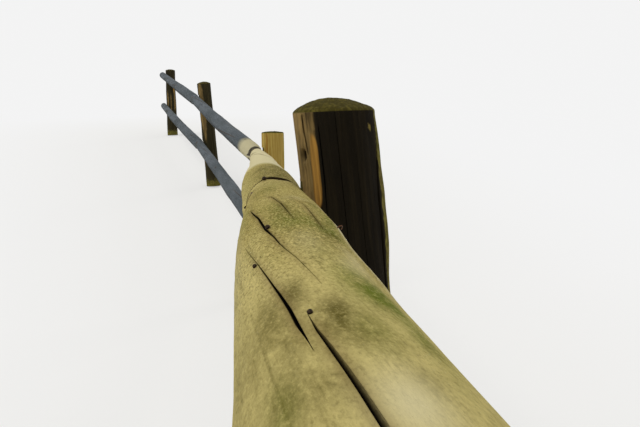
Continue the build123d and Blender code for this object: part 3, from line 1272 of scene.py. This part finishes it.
def crowned(crown, radius, seed):
    """Weathered crown: a rounded edge and a low dome."""
    edge = 1 - BEVEL / radius

    def height(share, off):
        rounded = BEVEL * np.sqrt(np.clip((1 - share) / (1 - edge), 0, 1))
        dome = BEVEL + crown * (1 - (share / edge) ** 2)
        rough = np.c_[np.zeros(len(share)), off / 0.012]
        up = np.where(share > edge, rounded, dome)
        return up + 0.0016 * layered(rough, seed + 5, 3) * (share < 0.97)

    return height


def post_cutters(i, line):
    """The level foot and the seats of the logs."""
    under = Matrix.Translation((line.origin.x, line.origin.y, foot_height(i)))
    wide = POST_CLEAR
    cutters = [block(under, oblong(-wide, wide, -wide, 0.0), -wide, wide)]
    for row in ROWS:
        j = joints[row, i]
        tall = math.sqrt(max(j.reach) ** 2 - (j.flat - SEAT_DEPTH) ** 2) + SEAT_MARGIN
        cutters.append(block(j.matrix(), oblong(-wide, wide, -tall, tall), -j.flat, CLEAR))
    return cutters


def build_post(i, line):
    rim = line.high - CROWNS[i] - BEVEL
    radius = line.mean_radius()
    seed = 401 + 17 * i
    shapes = []
    if i == 1:
        upper = spread(DARK_POST_FROM, rim, 0.0042)
        rows = np.concatenate([spread(-BURIED, DARK_POST_FROM, 0.010), upper])
        columns = around(-40, 190, 0.0020, 0.005, radius)
        checks = dark_post_checks(rim)
        avoid = [c.base for c in checks] + [0, 90]
        checks += random_checks(0.05, 1.05, 3, 0.004, 0.014, avoid)
        pits = [Pit(1.046, 34.0, 0.0125, 0.0085, 0.011), Pit(0.86, 70, 0.007, 0.005, 0.004, 0.8)]
        shapes.append(dark_post_shape)
    else:
        rows = spread(-BURIED, rim, 0.012)
        columns = around(0, 359, 0.0046, 0.005, radius)
        checks = random_checks(0.03, rim - 0.001, 8, 0.005, 0.018)
        checks += random_checks(rim - 0.4, rim - 0.001, 2, 0.006, 0.018, [c.base for c in checks])
        pits = random_pits(3, 1.1, 0.004, 0.009)
    ends = (-BURIED, rim)
    relief = 1.0 if i == 2 else 1.5
    name = f"log_post_{i + 1}"
    log = Log(name, line, ends, rows, columns, POST_TWIST, seed, checks, pits, relief, shapes, i == 1)
    if i == 1:
        paint_dark_post(log)
    else:
        paint_post(log, rim)
    log.cap(True, crowned(CROWNS[i], radius, seed), CROWN_RINGS)
    log.cap(False, level_end, (0.6, 0.2))
    piece = log.build([post_woods[i], top_dark])
    cut(piece, post_cutters(i, line))
    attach(piece, "root")
    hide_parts(f"post_{i + 1}")
    return piece


for i, line in enumerate(posts):
    build_post(i, line)


# Iron

HEAD_FLATS, HEAD_HEIGHT = 0.019, 0.008
WASHER_RADIUS, WASHER_THICK = 0.015, 0.0025

# Depths by which a washer and a head are let into what they lie on
SUNK, HEAD_SUNK = 0.0005, 0.0002


class Solid:
    """Mesh that is gathered from turned rings, one stack after another."""

    def __init__(self):
        self.verts, self.faces = [], []

    def stack(self, matrix, x, z, rings, sides, turn=0.0):
        """Closed stack of rings, each with its place along y and its radius."""
        start = len(self.verts)
        for y, radius in rings:
            for k in range(sides):
                t = turn + 2 * math.pi * k / sides
                corner = Vector((x + radius * math.cos(t), y, z + radius * math.sin(t)))
                self.verts.append(tuple(matrix @ corner))
        for ring in range(len(rings) - 1):
            for k in range(sides):
                a, b = start + ring * sides + k, start + ring * sides + (k + 1) % sides
                self.faces.append((a, b, b + sides, a + sides))
        last = start + (len(rings) - 1) * sides
        self.faces.append(tuple(range(start + sides - 1, start - 1, -1)))
        self.faces.append(tuple(range(last, last + sides)))

    def build(self, name, material):
        mesh = bpy.data.meshes.new(name)
        mesh.from_pydata(self.verts, [], self.faces)
        mesh.materials.append(material)
        return place(mesh)


def hexagon(flats, high, low):
    """Rings of a hexagonal head, from its top down, with its outer corners taken off."""
    corner = flats / math.sqrt(3)
    return [(high, corner * 0.86), (high - 0.0015, corner), (low, corner)]


def add_bolt(solid, j, x, z, turn):
    """Washer and hexagonal head of a bolt that holds a log, down in its sink."""
    m = j.matrix()
    floor = j.log_face(z) - SINK_DEPTH - SUNK
    top = floor + WASHER_THICK
    solid.stack(m, x, z, [(top, WASHER_RADIUS), (floor, WASHER_RADIUS)], 24)
    solid.stack(m, x, z, hexagon(HEAD_FLATS, top + HEAD_HEIGHT, top - HEAD_SUNK), 6, turn)


for i in range(POSTS):
    bolts = Solid()
    for row in ROWS:
        for x, z in bolt_spots(i):
            add_bolt(bolts, joints[row, i], x, z, rng.uniform(0, 1))
    piece = bolts.build(f"bolts_{i + 1}", iron)
    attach(piece, "root")


def on_near_log(at, angle):
    """Place on the near log's surface, with the way out of it there."""
    line, piece = rails["top", 0], pieces["top", 0]
    t = math.radians(angle)
    out = line.above * math.cos(t) - line.side * math.sin(t)
    local = piece.matrix_world.inverted()
    way = (local.to_3x3() @ -out).normalized()
    where = piece.ray_cast(local @ (line.point(at) + out * 0.2), way)[1]
    return piece.matrix_world @ where, line.ahead, out


def bent_staple(at, angle):
    """Thin bent wire that stands out of the near log's right shoulder."""
    foot, ahead, out = on_near_log(at, angle)
    over = ahead.cross(out)
    curve = bpy.data.curves.new("bent_staple", "CURVE")
    curve.dimensions = "3D"
    curve.bevel_depth = 0.0007
    curve.bevel_resolution = 2
    bends = ((0, -0.002), (0.0005, 0.003), (0.0022, 0.0058), (0.0048, 0.0052), (0.0056, 0.0020))
    spline = curve.splines.new("NURBS")
    spline.points.add(len(bends) - 1)
    for point, (sideways, up) in zip(spline.points, bends):
        point.co = (*(foot + over * sideways + out * up + ahead * sideways * 0.6), 1)
    spline.order_u = 3
    spline.use_endpoint_u = True
    curve.use_fill_caps = True
    curve.materials.append(iron)
    return place(curve)


def knot_stubs(spots):
    """Short dark stubs of branches, rounded off, beside the near log's cracks."""
    stubs = Solid()
    turns = [math.radians(a) for a in (88, 68, 48, 28, 8, -20)]
    for at, angle, radius in spots:
        foot, ahead, out = on_near_log(at, angle)
        rings = [(radius * (0.5 + math.sin(a)), radius * math.cos(a)) for a in turns]
        stubs.stack(matrix_of((ahead, out, ahead.cross(out)), foot), 0, 0, rings, 14)
    obj = stubs.build("knot_stubs", stub_bark)
    for face in obj.data.polygons:
        face.use_smooth = len(face.vertices) == 4
    return obj


bpy.context.view_layer.update()
staple = bent_staple(2.49, 47)
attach(staple, "root")
stubs = knot_stubs([
    (2.434, -29.0, 0.0029), (2.309, -45.2, 0.0020), (2.133, -18.6, 0.0017), (3.050, -18.0, 0.0050),
])
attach(stubs, "root")


# Stage

# Metres: how far the floor reaches, past which the slope levels out, and within
# which the floor keeps a share of the fence's soft shadow
FLOOR_REACH, LEVEL_OUT, SHADOW_REACH = 40, 4, 2.2
SHADOW_SHARE = 0.45
PALE = (0.9, 0.9, 0.9, 1)


def ground_sheet():
    """Pale floor through the feet of the posts, with a field that fades at a distance."""
    places = np.array([line.origin[:2] for line in posts])
    heights = [foot_height(i) for i in range(POSTS)]
    ways = [math.atan2(joints["top", i].ahead.y, joints["top", i].ahead.x) for i in range(POSTS)]
    run = np.concatenate([[0], np.cumsum(np.hypot(*np.diff(places, axis=0).T))])
    inner = np.linspace(run[0], run[-1], 61)
    before = run[0] - FLOOR_REACH * np.linspace(1, 0.02, 12) ** 2
    after = run[-1] + FLOOR_REACH * np.linspace(0.02, 1, 12) ** 2
    across = FLOOR_REACH * np.sign(np.linspace(-1, 1, 41)) * np.linspace(-1, 1, 41) ** 2
    slope = (heights[-1] - heights[-2]) / (run[-1] - run[-2])
    stations = np.concatenate([before, inner, after])
    verts, fade = [], []
    for s in stations:
        way = np.interp(s, run, ways)
        past = max(s - run[-1], 0)
        ahead = np.array([math.cos(way), math.sin(way)])
        middle = np.array([np.interp(s, run, places[:, k]) for k in (0, 1)])
        middle = middle + ahead * (min(s - run[0], 0) + past)
        height = np.interp(s, run, heights) + slope * LEVEL_OUT * (1 - math.exp(-past / LEVEL_OUT))
        for off in across:
            spot = middle + np.array([-ahead[1], ahead[0]]) * off
            verts.append((*spot, height))
            fade.append(bell(math.hypot(off, max(run[0] - s, 0) + past), SHADOW_REACH))
    m = len(across)
    corners = [i * m + k for i in range(len(stations) - 1) for k in range(m - 1)]
    mesh = bpy.data.meshes.new("floor")
    mesh.from_pydata(verts, [], [(a, a + m, a + m + 1, a + 1) for a in corners])
    layer = mesh.attributes.new("near", "FLOAT", "POINT")
    layer.data.foreach_set("value", fade)
    mesh.polygons.foreach_set("use_smooth", [True] * len(corners))
    return place(mesh)


def floor_material():
    """Pale floor that keeps soft shadows near the fence and runs into the backdrop."""
    n = Nodes(bpy.data.materials.new("pale_floor"))
    matt = n.surface((0.80, 0.80, 0.79, 1), 1.0, 0.0)
    glow = n.add("Emission", {"Color": PALE})[0]
    hidden = n.math("MULTIPLY_ADD", n.attribute("near"), -SHADOW_SHARE, 1.0)
    share = n.math("MULTIPLY", n.add("LightPath")["Is Camera Ray"], hidden)
    n.add("OutputMaterial", {"Surface": n.add("MixShader", enumerate((share, matt, glow)))[0]})
    return n.owner


floor = ground_sheet()
floor.data.materials.append(floor_material())


def studio_world():
    """Soft even light, and a pale backdrop where the camera sees past the object."""
    n = Nodes(bpy.data.worlds.new("studio"))
    light = n.add("Background", {"Color": (1.0, 0.985, 0.94, 1), "Strength": 0.62})[0]
    pale = n.add("Background", {"Color": PALE})[0]
    seen = n.add("LightPath")["Is Camera Ray"]
    n.add("OutputWorld", {"Surface": n.add("MixShader", enumerate((seen, light, pale)))[0]})
    return n.owner


def lamp(name, towards, strength, angle, colour):
    data = bpy.data.lights.new(name, "SUN")
    data.energy, data.angle, data.color = strength, math.radians(angle), colour
    place(data, Vector(towards).to_track_quat("-Z", "Y").to_matrix().to_4x4())


bpy.context.scene.world = studio_world()
lamp("key", (0.15, -0.55, -0.8), 1.25, 24, (1.0, 0.98, 0.93))
lamp("rim", (-0.5, 0.75, -0.45), 0.45, 20, (1.0, 0.98, 0.92))


# Camera of the photograph, with its focal length and the photo's width in pixels

FOCAL_PIXELS, PHOTO_WIDTH, SENSOR = 600, 640, 36
EYE = Vector((1.8327, 0.2091, 1.0816))
HEADING, PITCH, ROLL = (math.radians(v) for v in (6.91, 7.94, -2.42))


def photo_camera():
    level_ahead = Vector((math.cos(HEADING), -math.sin(HEADING), 0))
    ahead = level_ahead * math.cos(PITCH) - Vector((0, 0, 1)) * math.sin(PITCH)
    level = ahead.cross(Vector((0, 0, 1))).normalized()
    high = level.cross(ahead)
    right = level * math.cos(ROLL) + high * math.sin(ROLL)
    up = -level * math.sin(ROLL) + high * math.cos(ROLL)
    data = bpy.data.cameras.new("camera")
    data.lens = FOCAL_PIXELS / PHOTO_WIDTH * SENSOR
    data.sensor_width, data.sensor_fit = SENSOR, "HORIZONTAL"
    data.clip_start, data.clip_end = 0.01, 200
    return place(data, matrix_of((right, up, -ahead), EYE))


bpy.context.scene.camera = photo_camera()
bpy.context.scene.view_settings.view_transform = "Standard"
